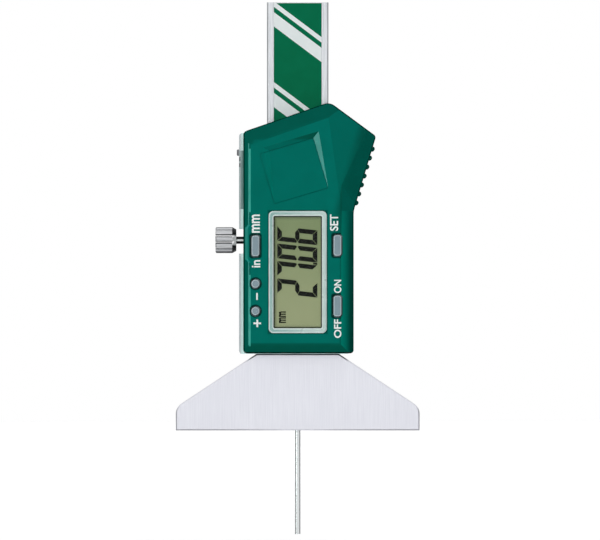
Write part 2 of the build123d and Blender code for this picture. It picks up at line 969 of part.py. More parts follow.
with BuildPart() as key_switches:
    for x, level, length in button_places.values():
        with Locations((x, board_front, level)):
            Box(
                switch_size,
                switch_height,
                switch_size,
                align=(Align.CENTER, Align.MAX, Align.CENTER),
            )
        with Locations((x, board_front - switch_height, level)):
            Box(
                actuator_size,
                actuator_height,
                actuator_size,
                align=(Align.CENTER, Align.MAX, Align.CENTER),
            )
finish(key_switches.part, "key_switches")


# Buttons: cap through the housing, square flange that holds it in, stem down to its key switch
def make_button(name, x, level, length):
    """One button, long if it has a length and round if it has none."""
    flange_front = inner_front + slide_gap
    width = button_width if length else round_button_diameter
    with BuildPart() as button:
        with BuildSketch(front_plane(flange_front, x, level)):
            if length:
                RectangleRounded(width, length, button_corner)
            else:
                Circle(width / 2)
        extrude(amount=flange_front + front_face + button_stand)
        chamfer(button.faces().sort_by(Axis.Y)[0].edges(), button_crown)
        with Locations((x, flange_front, level)):
            Box(
                width + 2 * button_flange,
                button_flange_thickness,
                (length or width) + 2 * button_flange,
                align=(Align.CENTER, Align.MIN, Align.CENTER),
            )
            Box(
                button_stem_size,
                stem_tip - flange_front,
                button_stem_size,
                align=(Align.CENTER, Align.MIN, Align.CENTER),
            )
    finish(button.part, name)


for name, (x, level, length) in button_places.items():
    make_button(name, x, level, length)

# Button cell, and the spring contacts on its foot and its rim
with BuildPart() as battery:
    bar(
        (bay_x, battery_front, bay_level),
        (0, 1, 0),
        battery_diameter / 2,
        battery_thickness - battery_cap_height,
    )
    bar((bay_x, battery_back, bay_level), (0, -1, 0), battery_cap_diameter / 2, battery_cap_height)
finish(battery.part, "battery")

with BuildPart() as contact_minus:
    leaf = bay_floor - contact_thickness / 2 - contact_gap
    leaf_top = battery_back + contact_thickness / 2 + contact_gap
    with BuildSketch(Plane.YZ.offset(bay_x - contact_width / 2)):
        with BuildLine() as strip_path:
            Polyline(
                (leaf, bay_level + contact_run),
                (leaf_top, bay_level + contact_dome),
                (leaf_top, bay_level - contact_dome),
                (leaf, bay_level - contact_run),
                (leaf, contact_low),
                (board_front - contact_gap, contact_low),
            )
        trace(strip_path.line, contact_thickness)
    extrude(amount=contact_width)
finish(contact_minus.part, "contact_minus")

with BuildPart() as contact_plus:
    leaf_x = bay_x - battery_diameter / 2 - contact_gap - contact_thickness / 2
    leaf_foot = board_front - contact_gap - contact_thickness / 2
    with BuildSketch(Plane.XY.offset(bay_level - contact_width / 2)):
        with BuildLine() as strip_path:
            Polyline(
                (leaf_x, battery_back - side_contact_reach),
                (leaf_x, leaf_foot),
                (leaf_x - side_contact_foot, leaf_foot),
            )
        trace(strip_path.line, contact_thickness)
    extrude(amount=contact_width)
finish(contact_plus.part, "contact_plus")

# Lock screw: fluted knob, thin neck and a thread whose end presses the gib
with BuildPart() as lock_screw:
    knob_radius = knob_diameter / 2
    notch_face = -frame_left + notch_depth
    with BuildSketch(front_plane(0, 0, lock_level)):
        with BuildLine():
            Polyline(
                (-knob_outer, 0),
                (-knob_outer, knob_radius - knob_rim),
                (-knob_outer + knob_rim, knob_radius),
                (-knob_inner - knob_chamfer, knob_radius),
                (-knob_inner, knob_radius - knob_chamfer_drop),
                (-knob_inner, lock_neck_diameter / 2),
                (notch_face, lock_neck_diameter / 2),
                (notch_face, lock_thread_diameter / 2),
                (wall_inner - lock_tip_gap, lock_thread_diameter / 2),
                (wall_inner - lock_tip_gap, 0),
                close=True,
            )
        make_face()
    revolve(axis=Axis((0, 0, lock_level), (1, 0, 0)))
    with BuildSketch(Plane(origin=(-knob_outer, 0, lock_level), x_dir=(0, -1, 0), z_dir=(1, 0, 0))):
        with PolarLocations(knob_radius, flute_count, start_angle=-flute_first):
            Rectangle(2 * flute_depth, flute_width)
    extrude(amount=knob_outer - knob_inner, mode=Mode.SUBTRACT)
finish(lock_screw.part, "lock_screw")
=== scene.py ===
# %% [markdown]
# # A digital depth caliper, dressed in Blender
#
# The caliper comes in as finished CAD pieces that already have their shape, size and place. This file
# gives them their look: satin green moulding, ground steel, a printed scale film, a grey-green display
# with its reading, white key words, and a small photo studio round them.
#
# Lengths are in metres, because that is what Blender uses. The foot's datum face is at
# z = 0, the display faces -Y, and the beam runs up along +Z.

# %% Load the caliper
import math

import bpy
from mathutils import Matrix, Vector


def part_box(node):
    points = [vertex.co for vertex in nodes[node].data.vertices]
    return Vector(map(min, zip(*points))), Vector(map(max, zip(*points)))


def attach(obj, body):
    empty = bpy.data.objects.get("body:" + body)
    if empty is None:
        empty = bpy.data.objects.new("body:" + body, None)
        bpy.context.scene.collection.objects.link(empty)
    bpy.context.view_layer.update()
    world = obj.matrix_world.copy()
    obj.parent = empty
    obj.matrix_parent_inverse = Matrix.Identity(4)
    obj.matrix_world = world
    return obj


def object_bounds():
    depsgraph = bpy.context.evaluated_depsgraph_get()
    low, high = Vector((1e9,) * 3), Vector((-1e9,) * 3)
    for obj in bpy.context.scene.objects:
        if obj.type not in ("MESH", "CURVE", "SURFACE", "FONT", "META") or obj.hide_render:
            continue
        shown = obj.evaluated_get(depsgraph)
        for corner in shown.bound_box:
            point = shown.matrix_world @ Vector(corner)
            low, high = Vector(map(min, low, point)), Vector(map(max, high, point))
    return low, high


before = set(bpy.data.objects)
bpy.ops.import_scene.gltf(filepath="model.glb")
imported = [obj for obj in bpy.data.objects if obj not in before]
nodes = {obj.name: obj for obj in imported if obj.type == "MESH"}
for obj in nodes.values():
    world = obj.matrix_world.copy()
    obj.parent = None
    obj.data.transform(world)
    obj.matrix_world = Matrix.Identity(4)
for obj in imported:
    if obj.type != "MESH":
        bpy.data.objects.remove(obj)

MM = 0.001
cad_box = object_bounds()

# %% [markdown]
# ## Shader sums written as Python sums
#
# A material is a small network of nodes. Placing every Math node by hand would hide what the network
# works out, so a node's output is wrapped in a class that knows how to add, multiply and compare.
# Python calls a method such as `__add__` for each sign, and here that method makes a Math node.


# %% Signs
def sum_of(operation):
    """A method that joins a socket and another value in one Math node."""
    return lambda self, other: self.math(operation, self, other)


class Sums:
    """What Python's signs do with a socket. `1 - mask` makes a Subtract node, for one."""

    __add__ = __radd__ = sum_of("ADD")
    __sub__ = sum_of("SUBTRACT")
    __mul__ = __rmul__ = sum_of("MULTIPLY")
    __truediv__ = sum_of("DIVIDE")
    __mod__ = sum_of("FLOORED_MODULO")
    __gt__ = sum_of("GREATER_THAN")
    __lt__ = sum_of("LESS_THAN")
    most = sum_of("MAXIMUM")
    least = sum_of("MINIMUM")

    def __rsub__(self, other):
        return self.math("SUBTRACT", other, self)

    def __abs__(self):
        return self.math("ABSOLUTE", self)

    def root(self):
        return self.math("SQRT", self)


print("a socket can be used with + - * / % < > and abs()")

# %% [markdown]
# ## One class for sockets
#
# A socket has to know its node tree and the output that it stands for. Nodes that aren't sums all come
# from one method, `add`, which takes a node's inputs by name, or by number where several share a name.
# An input gets a link or a plain value, and `feed` finds out which.


# %% Socket
def feed(socket, value):
    """Links an input to another node's output, or gives it a plain value."""
    if isinstance(value, Socket):
        value.tree.links.new(value.output, socket)
    else:
        socket.default_value = value


class Socket(Sums):
    """A shader node's output that can be used in Python sums."""

    def __init__(self, tree, output):
        self.tree = tree
        self.output = output

    def add(self, kind, settings=None, output=0, **inputs):
        """Adds a node to this tree. Settings come first, then the values or links of its inputs."""
        node = self.tree.nodes.new("ShaderNode" + kind)
        for name, value in (settings or {}).items():
            setattr(node, name, value)
        for name, value in inputs.items():
            place = int(name[1:]) if name[1:].isdigit() else name.replace("_", " ")
            feed(node.inputs[place], value)
        return Socket(self.tree, node.outputs[output])

    def math(self, operation, first, second=0.0):
        """A Math node on two values, either of which may be a plain number."""
        return self.add("Math", {"operation": operation}, i0=first, i1=second)

    def smooth(self, start, end):
        """0 before start, 1 after end, and an even blend between them."""
        settings = {"interpolation_type": "SMOOTHSTEP"}
        return self.add("MapRange", settings, Value=self, From_Min=start, From_Max=end)


print("a socket makes its nodes with add, math and smooth")

# %% [markdown]
# ## Colours
#
# Colours are read as screen values from 0 to 255. Blender's sockets want linear light, so one
# function converts them. Two colours meet in a Mix node, because a Math node would turn a colour grey.
# `tint` is the brush of this file: it lays a shade over a colour where a mask is 1.


# %% Colour helpers
def screen(red, green, blue):
    """A colour given as it looks on a screen, as the linear colour that a socket takes."""

    def linear(value):
        """The sRGB curve, backwards."""
        share = value / 255
        return share / 12.92 if share <= 0.04045 else ((share + 0.055) / 1.055) ** 2.4

    return (linear(red), linear(green), linear(blue), 1)


def blend(factor, a, b):
    """Colour a where the factor is 0 and colour b where it is 1."""
    return factor.add("Mix", {"data_type": "RGBA"}, output=2, i0=factor, i6=a, i7=b)


def tint(colour, shade, mask, strength=1):
    """The colour with a shade laid over it where the mask is 1."""
    return blend(mask * strength, colour, shade)


WHITE, BLACK = (1, 1, 1, 1), (0, 0, 0, 1)
print("half grey on a screen is", round(screen(128, 128, 128)[0], 3), "in linear light")

# %% [markdown]
# ## One recipe for every material
#
# Each finish is a function that starts a `Surface`, works out a colour from the place and the normal,
# and hands it to the Principled shader. Most finishes also get a little noise on their roughness, as much
# as `UNEVENNESS` at most, because no real surface is equally smooth all over. What doesn't change over a
# surface is a plain number on the shader itself, which keeps the network small.

# %% Surface
UNEVENNESS = 0.1


def axes(vector):
    """The x, y and z parts of a vector socket."""
    return [vector.add("SeparateXYZ", output=index, Vector=vector) for index in range(3)]


class Surface:
    """What a finish can build on: the place, the normal and the shader of one material."""

    def __init__(self, name):
        self.material = bpy.data.materials.new(name)
        self.material.use_nodes = True
        tree = self.material.node_tree
        self.shader = tree.nodes["Principled BSDF"]
        start = Socket(tree, None)
        self.place = start.add("TexCoord", output="Object")
        self.x, self.y, self.z = axes(self.place)
        self.side, depth, self.rise = axes(start.add("TexCoord", output="Normal"))
        self.facing = 0 - depth
        self.left = 0 - self.side
        self.falling = 0 - self.rise

    def noise(self, size, detail=2, stretch=(1, 1, 1)):
        """Noise whose grains are about size metres across, longer along an axis with a larger stretch."""
        scale = [1 / (size * part) for part in stretch]
        mapped = self.place.add("Mapping", Vector=self.place, Scale=scale)
        return mapped.add("TexNoise", Vector=mapped, Scale=1.0, Detail=detail)

    def bump(self, height, distance, strength):
        return height.add("Bump", Height=height, Distance=distance, Strength=strength)

    def set(self, **values):
        """Feeds the shader and returns the finished material."""
        for name, value in values.items():
            feed(self.shader.inputs[name.replace("_", " ")], value)
        return self.material


print("a surface knows its place (x, y, z) and how far it leans left, falls or faces the front")

# %% [markdown]
# ## Masks on the front
#
# The housing is one moulding, yet its green isn't even: bevels, the battery dip, the thumb wing and the
# gaps round the keys each catch light in their own way. They could be painted on an image. Here a mask
# does it, which is 1 where a sheen or a shadow belongs and 0 elsewhere, and is worked out from the
# surface's own x and z. It stays sharp from any distance, and one number moves it.


# %% Places on the front
def spot(x, z):
    """A place on the front, in millimetres right of the rod and above the datum face."""
    return Vector((x * MM, z * MM))


def front_box(name):
    """A CAD piece's lower left and upper right corners, seen from the front."""
    return [Vector((corner[0], corner[2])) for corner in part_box(name)]


bezel_low, bezel_high = front_box("bezel")
print("bezel width and height in mm:", [round(side / MM, 2) for side in bezel_high - bezel_low])

# %% [markdown]
# ## Three shapes of mask
#
# The side of a slanted line, a box with a soft rim and a box with round corners are all that the housing
# needs. Each is a few sums on x and z, and a blend between two distances makes the soft rim.


# %% Masks
def right_of(surface, low, top):
    """How far a place lies to the right of a line between two spots, in metres."""
    along = (top - low).normalized()
    offset = low.x * along.y - low.y * along.x
    return surface.x * along.y - surface.z * along.x - offset


def inside(surface, low, high, soft):
    """1 in the box between two spots, fading to 0 over a soft rim outside it."""
    sideways = surface.x.smooth(low.x - soft, low.x) * surface.x.smooth(high.x + soft, high.x)
    return sideways * surface.z.smooth(low.y - soft, low.y) * surface.z.smooth(high.y + soft, high.y)


def around(surface, low, high, corner, reach):
    """1 in a box with round corners between two spots, fading to 0 over a reach outside it."""
    middle, half = (low + high) / 2, (high - low) / 2
    over_x = (abs(surface.x - middle.x) - (half.x - corner)).most(0)
    over_z = (abs(surface.z - middle.y) - (half.y - corner)).most(0)
    return (over_x * over_x + over_z * over_z).root().smooth(corner + reach, corner)


print("masks: right of a line, inside a box, around a box with round corners")

# %% [markdown]
# ## Green by slope
#
# The housing and the battery cover are one plastic, a deep blue-green. A moulding looks lightest on its
# flat face and deeper on what turns away from the light, and lamps alone give too little of that. So the
# colour follows the normal as painted shade: each `TURN` below is a range of the share by which a surface
# faces one way. The bevel low on the right is rounded on the real one, which a blend of painted light and
# shade across its width shows.

# %% Slopes
NECK_CORNER, WING_CORNER = spot(14.55, 57.05), spot(20.4, 76.55)
BEVEL_START, BEVEL_END = 11.3 * MM, 14.2 * MM
WALL_TURN, SLOPE_TURN, FLAT_TURN = (0.1, 0.6), (0.6, 0.9), (0.965, 1.0)
BEVEL_TURN, FALLING_TURN = (0.3, 0.5), (0.2, 0.5)
FACE_GREEN, SLOPE_GREEN, FALLING_GREEN = screen(0, 114, 102), screen(0, 95, 82), screen(0, 84, 68)
WALL_GREEN, DEEP_WALL_GREEN = screen(0, 92, 77), screen(0, 70, 58)
BEVEL_LIT, BEVEL_SHADED = screen(0, 136, 118), screen(0, 62, 52)


def green_by_slope(surface):
    """Painted shade: lightest on the flat face and deeper on what turns away, with painted light and
    shade across the right bevel.
    """
    walls = blend(surface.facing.smooth(*WALL_TURN), DEEP_WALL_GREEN, WALL_GREEN)
    sloping = blend(surface.facing.smooth(*SLOPE_TURN), walls, SLOPE_GREEN)
    bevel = surface.side.smooth(*BEVEL_TURN) * surface.facing.smooth(*BEVEL_TURN)
    rounded = blend(surface.x.smooth(BEVEL_START, BEVEL_END), BEVEL_LIT, BEVEL_SHADED)
    sloping = tint(sloping, rounded, bevel * (surface.z < NECK_CORNER.y))
    sloping = tint(sloping, FALLING_GREEN, surface.falling.smooth(*FALLING_TURN), strength=0.5)
    return blend(surface.facing.smooth(*FLAT_TURN), sloping, FACE_GREEN)


print("right bevel shaded over", round((BEVEL_END - BEVEL_START) / MM, 2), "mm")

# %% [markdown]
# ## Battery dip
#
# Over the cover's upper end the moulding dips, so that a nail reaches the edge. The dip's shape is in the
# CAD. Its floor and walls face the lamp and look lighter than slopes elsewhere, so they get greens of
# their own, each kept to its direction inside a soft box.

# %% Dip
DIP_LOW, DIP_HIGH, DIP_RIM = spot(-11, 58), spot(7, 75), 1 * MM
DIP_FLOOR_TURN, DIP_SIDE_TURN, DIP_END_TURN = (0.6, 0.7), (0.15, 0.35), (0.2, 0.4)
DIP_FLOOR_GREEN, DIP_SIDE_GREEN = screen(0, 112, 100), screen(0, 130, 116)
DIP_END_GREEN = screen(0, 118, 106)


def paint_dip(surface, colour):
    """Lighter walls in the dip over the battery cover."""
    dip = inside(surface, DIP_LOW, DIP_HIGH, DIP_RIM)
    floor = dip * surface.facing.smooth(*DIP_FLOOR_TURN)
    side = dip * surface.side.smooth(*DIP_SIDE_TURN)
    end = dip * surface.falling.smooth(*DIP_END_TURN)
    colour = tint(colour, DIP_FLOOR_GREEN, floor, strength=0.75)
    colour = tint(colour, DIP_SIDE_GREEN, side, strength=0.8)
    return tint(colour, DIP_END_GREEN, end, strength=0.4)


print("dip painted in a box", round((DIP_HIGH - DIP_LOW).x / MM), "mm wide")

# %% [markdown]
# ## Thumb wing
#
# On the right the housing grows into a wing for the thumb. Its long facet turns away and is deeper, its
# walls keep some light, and the ribs on its edge lie in each other's shadow. A slanted line tells the
# wing from the rest, because the crease between them is slanted too.

# %% Wing
FACET_LOW, FACET_TOP, FACET_RIM = spot(10.6, 57.8), spot(16.4, 77.8), (-2 * MM, 1 * MM)
WING_RISE, RIB_START = (44 * MM, 60 * MM), 0.1 * MM
FACET_TURN, WING_WALL_TURN = (0.75, 0.88), (0.2, 0.4)
FACET_GREEN, WING_WALL_GREEN, RIB_GREEN = screen(0, 80, 68), screen(4, 104, 94), screen(0, 48, 40)


def paint_wing(surface, colour):
    """A deeper facet, lighter walls beside it and shaded ribs."""
    wing = right_of(surface, FACET_LOW, FACET_TOP).smooth(*FACET_RIM) * surface.z.smooth(*WING_RISE)
    facet = surface.facing.smooth(*FACET_TURN)
    walls = (1 - facet) * surface.facing.smooth(*WING_WALL_TURN)
    ribs = (right_of(surface, NECK_CORNER, WING_CORNER) > RIB_START) * (surface.z > NECK_CORNER.y)
    colour = tint(colour, FACET_GREEN, wing * facet, strength=0.85)
    colour = tint(colour, WING_WALL_GREEN, wing * walls, strength=0.5)
    return tint(colour, RIB_GREEN, ribs, strength=0.8)


print("wing edge", round((WING_CORNER - NECK_CORNER).length / MM, 1), "mm long")

# %% [markdown]
# ## Left edge and boss
#
# Light from the left glints along the narrow bevel of that side, and again on the crease where the bevel
# meets the face. A small boss beside the unit key breaks the bevel. A stronger lamp would wash out the
# whole face, so the glint is a paler green with a little clear coat, kept to normals that lean left.

# %% Left edge
GLINT_START, GLINT_END = (0.38, 0.44), (0.62, 0.52)
CREASE_LOW, CREASE_HIGH, CREASE_RIM = spot(-12.62, 22), spot(-12.2, 73.1), 0.05 * MM
BOSS_LOW, BOSS_HIGH, BOSS_RIM = spot(-13.75, 44.6), spot(-13, 52.6), 0.4 * MM
BREAK_SIZE, BREAK_RIM = spot(1, 4), 0.3 * MM
CREASE_TURN, BOSS_TURN, BOSS_STRENGTH = (0.7, 0.8), (0.2, 0.5), 0.32
GLINT_GREEN, CREASE_GREEN = screen(30, 150, 138), screen(60, 172, 156)


def left_glint(surface):
    """1 on the bevel that leans towards the left lamp."""
    return surface.left.smooth(*GLINT_START) * surface.left.smooth(*GLINT_END)


def paint_left_edge(surface, colour):
    """The painted glint on the left bevel, the painted crease line with its break at the boss, and a
    weaker painted highlight on the boss.
    """
    colour = tint(colour, GLINT_GREEN, left_glint(surface), strength=0.85)
    break_in_line = inside(surface, BOSS_LOW - BREAK_SIZE, BOSS_HIGH + BREAK_SIZE, BREAK_RIM)
    line = inside(surface, CREASE_LOW, CREASE_HIGH, CREASE_RIM) * (1 - break_in_line)
    line = line * surface.facing.smooth(*CREASE_TURN)
    boss = inside(surface, BOSS_LOW, BOSS_HIGH, BOSS_RIM) * surface.facing.smooth(*BOSS_TURN)
    return tint(colour, CREASE_GREEN, line.most(boss * BOSS_STRENGTH))


print("crease line", round((CREASE_HIGH - CREASE_LOW).y / MM, 1), "mm long")

# %% [markdown]
# ## Rings round the keys
#
# Keys and bezel sit in the moulding with a gap of a few tenths of a millimetre, whose shade looks like a
# dark ring. At this scale the lamps lose it, so a mask paints that shade round each piece's own box, and
# round the keys with round corners like theirs.

# %% Rings
LONG_KEYS = ("button_units", "button_set", "button_power")
KEYS = (*LONG_KEYS, "button_minus", "button_plus")
KEY_CORNER, KEY_RING, BEZEL_RING = 0.6 * MM, 0.28 * MM, 0.5 * MM
KEY_RING_STRENGTH, BEZEL_RING_STRENGTH = 0.9, 0.6
RING_TURN, RING_SHADE_GREEN = (0.9, 0.97), screen(0, 40, 36)


def paint_rings(surface, colour):
    """Painted shade in a ring on the face round the bezel and each key."""
    ring = inside(surface, bezel_low, bezel_high, BEZEL_RING) * BEZEL_RING_STRENGTH
    for key in KEYS:
        low, high = front_box(key)
        corner = KEY_CORNER if key in LONG_KEYS else (high.x - low.x) / 2
        ring = ring.most(around(surface, low, high, corner, KEY_RING) * KEY_RING_STRENGTH)
    return tint(colour, RING_SHADE_GREEN, ring * surface.facing.smooth(*RING_TURN))


print("rings round", len(KEYS), "keys")

# %% [markdown]
# ## Gaps
#
# Down in the openings of the face little light comes back, and the same holds for faces that look at the
# floor. Both are told by their direction: a wall inside the face's outline doesn't face the front.

# %% Walls of the openings
FACE_LOW, FACE_HIGH, FACE_RIM = spot(-13.2, 21.5), spot(10, 77), 0.1 * MM
OPENING_TURN, UNDER_TURN = (0.1, 0.5), (0.75, 0.95)
GAP_GREEN = screen(0, 24, 20)


def paint_gaps(surface, colour, strength):
    """Dark walls in the openings of the face, and dark faces that look down."""
    face = inside(surface, FACE_LOW, FACE_HIGH, FACE_RIM)
    opening = face * (1 - surface.facing.smooth(*OPENING_TURN))
    return tint(colour, GAP_GREEN, opening.most(surface.falling.smooth(*UNDER_TURN)), strength)


print("openings looked for up to z", round(FACE_HIGH.y / MM), "mm")

# %% [markdown]
# ## Green moulding
#
# Now the greens are laid over each other in one go, from the broad ones to the fine ones. A faint cloud
# keeps the face from looking printed, and the spark texture that the mould leaves is a bump, too fine to
# be modelled. The cover gets the same plastic with weaker gaps, because its own walls come to light when
# it is lifted off.

# %% Housing and battery cover
CLOUD_SIZE, CLOUD_RANGE, CLOUD_GREEN = 5 * MM, (0.35, 0.7), screen(0, 102, 89)
WALL_CLOUD, FACE_CLOUD = 0.04, 0.22
SPARK_SIZE, SPARK_DEPTH = 0.16 * MM, 0.01 * MM
GLINT_COAT, FACE_COAT = 0.28, 0.04
FRONT_TURN = (0.5, 0.9)


def green_moulding(name, gaps):
    surface = Surface(name)
    front = surface.facing.smooth(*FRONT_TURN)
    cloud = surface.noise(CLOUD_SIZE).smooth(*CLOUD_RANGE)
    spark = surface.noise(SPARK_SIZE)
    colour = green_by_slope(surface)
    for paint in (paint_dip, paint_wing, paint_left_edge):
        colour = paint(surface, colour)
    colour = tint(colour, CLOUD_GREEN, cloud * (WALL_CLOUD + front * FACE_CLOUD))
    colour = paint_rings(surface, colour)
    return surface.set(
        Base_Color=paint_gaps(surface, colour, gaps),
        Roughness=0.3 + spark * UNEVENNESS,
        Normal=surface.bump(spark, SPARK_DEPTH, strength=0.3),
        Coat_Weight=left_glint(surface) * GLINT_COAT + front * FACE_COAT,
        Coat_Roughness=0.12,
        Specular_IOR_Level=0,
    )


def dress(material, *names):
    """Gives a material to CAD pieces."""
    for name in names:
        mesh = nodes[name].data
        mesh.materials.clear()
        mesh.materials.append(material)
    print(material.name, "on", ", ".join(names))


dress(green_moulding("green_moulding", gaps=1), "housing")
dress(green_moulding("green_cover", gaps=0.3), "battery_cover")

# %% [markdown]
# ## Ground and satin steel
#
# The foot is ground, which leaves fine upright marks: noise that is drawn out along Z only. An image of
# brushed steel would do too, but noise has no seams and its grain has a real size. Steel is metallic,
# so its colour is the tint of what it mirrors, and a middling roughness spreads that into a soft sheen.

# %% Steel
UPRIGHT, LONG_UPRIGHT, SIDEWAYS, EVEN = (1, 1, 40), (1, 1, 60), (30, 1, 1), (1, 1, 1)
MARK_RANGE, MARK_DEPTH, FINE_MARK_DEPTH = (0.3, 0.7), 0.01 * MM, 0.004 * MM
PATCH_SIZE, PATCH_RANGE = 9 * MM, (0.35, 0.75)
SHEEN_CHANGE = 0.12


def steel(name, tones, roughness, grain, stretch=UPRIGHT, depth=MARK_DEPTH):
    """Steel with fine marks drawn out along one axis, and broad, faint patches of its darker tone."""
    surface = Surface(name)
    dark, light = tones
    marks = surface.noise(grain, detail=5, stretch=stretch)
    patches = surface.noise(PATCH_SIZE).smooth(*PATCH_RANGE)
    return surface.set(
        Base_Color=tint(blend(marks.smooth(*MARK_RANGE), dark, light), dark, patches, strength=0.35),
        Metallic=0.9,
        Roughness=roughness - SHEEN_CHANGE / 2 + marks * SHEEN_CHANGE,
        Normal=surface.bump(marks, depth, strength=0.5),
    )


ground = (screen(221, 222, 230), screen(230, 231, 238))
ground_steel = steel(
    "ground_steel", ground, roughness=0.36, grain=0.16 * MM, stretch=LONG_UPRIGHT, depth=FINE_MARK_DEPTH
)
dress(ground_steel, "foot")

# %% [markdown]
# ## Beam, rod, plate and screws
#
# The same recipe serves for the other steel pieces, which differ in how they were finished: the beam is
# satin, the rod polished, the back plate milled, and the screws are turned, with marks that run no
# special way. Only tones, roughness and grain change.

# %% Other steel
satin = (screen(200, 204, 208), screen(226, 229, 232))
polished = (screen(206, 210, 211), screen(226, 229, 229))
milled = (screen(178, 182, 186), screen(206, 210, 213))
turned = (screen(110, 112, 116), screen(160, 162, 166))
dress(steel("beam_steel", satin, roughness=0.34, grain=0.2 * MM), "beam")
dress(steel("rod_steel", polished, roughness=0.18, grain=0.3 * MM), "depth_rod")
dress(steel("plate_steel", milled, roughness=0.34, grain=0.2 * MM), "back_plate")
dress(
    steel("screw_steel", turned, roughness=0.35, grain=0.15 * MM, stretch=EVEN),
    "foot_screws",
    "housing_screws",
    "gib_screws",
    "gib_retainer",
    "rod_set_screws",
    "travel_stop",
)

# %% [markdown]
# ## Slider frame
#
# The frame is milled steel, and from the front only its left edge shows, as a strip a little over a
# millimetre wide. It mirrors the green beside it, so the strip has a painted mint reflection, and a
# shallow relief halfway up gets painted shade, darkest next to the housing. Bands beside a gib screw on
# the left edge are a painted shadow. Real reflections of a strip this thin would be mostly noise, so the
# tints are masks, kept to the faces that look out of the front. The frame's sides and back stay plain
# steel.

# %% Frame steel
STRIP, FRAME_GRAIN = 1.1 * MM, 0.25 * MM
RELIEF_LOW, RELIEF_HIGH = 57.6 * MM, 72.8 * MM
GIB_SCREW_HIGH, GIB_SHADOW_START, GIB_SHADOW_END = 69.8 * MM, 0.3 * MM, 1.3 * MM
STRIP_OUTER, STRIP_INNER = screen(196, 203, 206), screen(220, 252, 248)
RELIEF_SHADE_OUTER, RELIEF_SHADE_INNER = screen(160, 176, 176), screen(92, 128, 124)
MARK_STEEL, GIB_SHADOW_STEEL, BODY_STEEL = screen(196, 214, 212), screen(48, 56, 56), screen(188, 192, 196)
frame_edge = front_box("slider_frame")[0].x


def frame_steel():
    """Milled steel with a painted reflection brightest next to the housing, painted shade on the relief
    along part of the left edge, and a painted shadow beside a gib screw.
    """
    surface = Surface("frame_steel")
    marks = surface.noise(FRAME_GRAIN, detail=4, stretch=UPRIGHT)
    inward = surface.x.smooth(frame_edge + STRIP / 4, frame_edge + STRIP * 3 / 4)
    relief = (surface.z > RELIEF_LOW) * (surface.z < RELIEF_HIGH) * (surface.x < frame_edge + 2 * STRIP)
    from_screw = abs(surface.z - GIB_SCREW_HIGH)
    gib_shadow = (from_screw > GIB_SHADOW_START) * (from_screw < GIB_SHADOW_END) * (surface.x < frame_edge + STRIP / 3)
    # Painted light and shade: the mint is a reflection of the green, the relief is shaded darkest next to
    # the housing, and the bands beside the gib screw are a shadow.
    colour = blend(inward, STRIP_OUTER, STRIP_INNER)
    colour = tint(colour, blend(inward, RELIEF_SHADE_OUTER, RELIEF_SHADE_INNER), relief)
    colour = tint(colour, MARK_STEEL, marks.smooth(*MARK_RANGE), strength=0.3)
    colour = tint(colour, GIB_SHADOW_STEEL, gib_shadow, strength=0.8)
    return surface.set(
        Base_Color=blend(surface.facing.smooth(*FRONT_TURN), BODY_STEEL, colour),
        Metallic=0.75,
        Roughness=0.34 + marks * SHEEN_CHANGE,
        Normal=surface.bump(marks, MARK_DEPTH, strength=0.5),
    )


dress(frame_steel(), "slider_frame")

# %% [markdown]
# ## Lock screw
#
# The lock screw is a bright knob with straight flutes on a thin neck, and it points to the left. Its
# flutes are cut in the CAD. Its parts are told apart by their place along x and their distance from the
# axis, so the first cell measures the knob.

# %% Places on the knob
knob_low, knob_high = (Vector(corner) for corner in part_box("lock_screw"))
KNOB_AXIS, KNOB_RADIUS = (knob_low.z + knob_high.z) / 2, (knob_high.z - knob_low.z) / 2
KNOB_SHOULDER, KNOB_END, NECK_RADIUS = -17.05 * MM, -16.15 * MM, 1.1 * MM
UPPER_RIM, UNDER_RIM, RIM_BLUR, UPPER_RIM_STRENGTH = 0.3 * MM, 0.55 * MM, 0.1 * MM, 0.6
SHADOW_START, SHADOW_END = 1.0 * MM, 1.6 * MM
print("knob radius", round(KNOB_RADIUS / MM, 2), "mm")

# %% [markdown]
# ## Flutes
#
# A flute this narrow mirrors a dark line with a bright one in it. Its place follows from the angle round
# the knob's axis: the remainder of the angle by the flutes' pitch says how far the next flute is. The
# dark lines fade towards the knob's upper and lower edge, where the flutes are seen from the side.

# %% Flute lines
FLUTE_DEPTH, FLUTE_WIDTH = 0.2 * MM, 0.6 * MM
FLUTE_FIRST, FLUTE_PITCH = math.radians(20.8), math.radians(30)
DARK_SHARE, BRIGHT_SHARE = 0.7, 0.25
FADE_START, FADE_END, FADE = 1.4 * MM, 2 * MM, 0.8
LOWER_BRIGHT, UPPER_BRIGHT = 0.6, 1.0


def flute_lines(surface, up, skin):
    """Masks for the flutes' painted reflections, a dark line with a bright one in each, brighter on the
    knob's upper half.
    """
    angle = up.math("ARCTAN2", up, 0 - surface.y) - FLUTE_FIRST - FLUTE_PITCH / 2
    aside = abs(angle % FLUTE_PITCH - FLUTE_PITCH / 2) * KNOB_RADIUS
    dark = skin * (aside < FLUTE_WIDTH * DARK_SHARE) * (1 - abs(up).smooth(FADE_START, FADE_END) * FADE)
    lit = LOWER_BRIGHT + (up > 0) * (UPPER_BRIGHT - LOWER_BRIGHT)
    return dark, skin * (aside < FLUTE_WIDTH * BRIGHT_SHARE) * lit


print("flutes round the knob:", round(2 * math.pi / FLUTE_PITCH))

# %% [markdown]
# ## Knob and neck
#
# The rest of the knob is laid over the plain metal in order: a painted sheen on the upper half, the
# flutes' painted reflections, painted shade on the upper and lower rims, the bright shoulder with its
# painted shadow, and the neck, bright where it faces front or back and near black where it turns up or
# down. The shoulder is less metallic than the rest, so that it stays bright whatever stands round it.

# %% Lock screw metal
KNOB_GRAIN, NECK_TURN, KNOB_SHEEN, KNOB_UNEVENNESS = 0.2 * MM, (0.1, 0.4), 0.4, 0.14
KNOB_METAL, SHOULDER_LOSS, BRIGHT_LINE_LOSS = 0.9, 0.7, 0.6


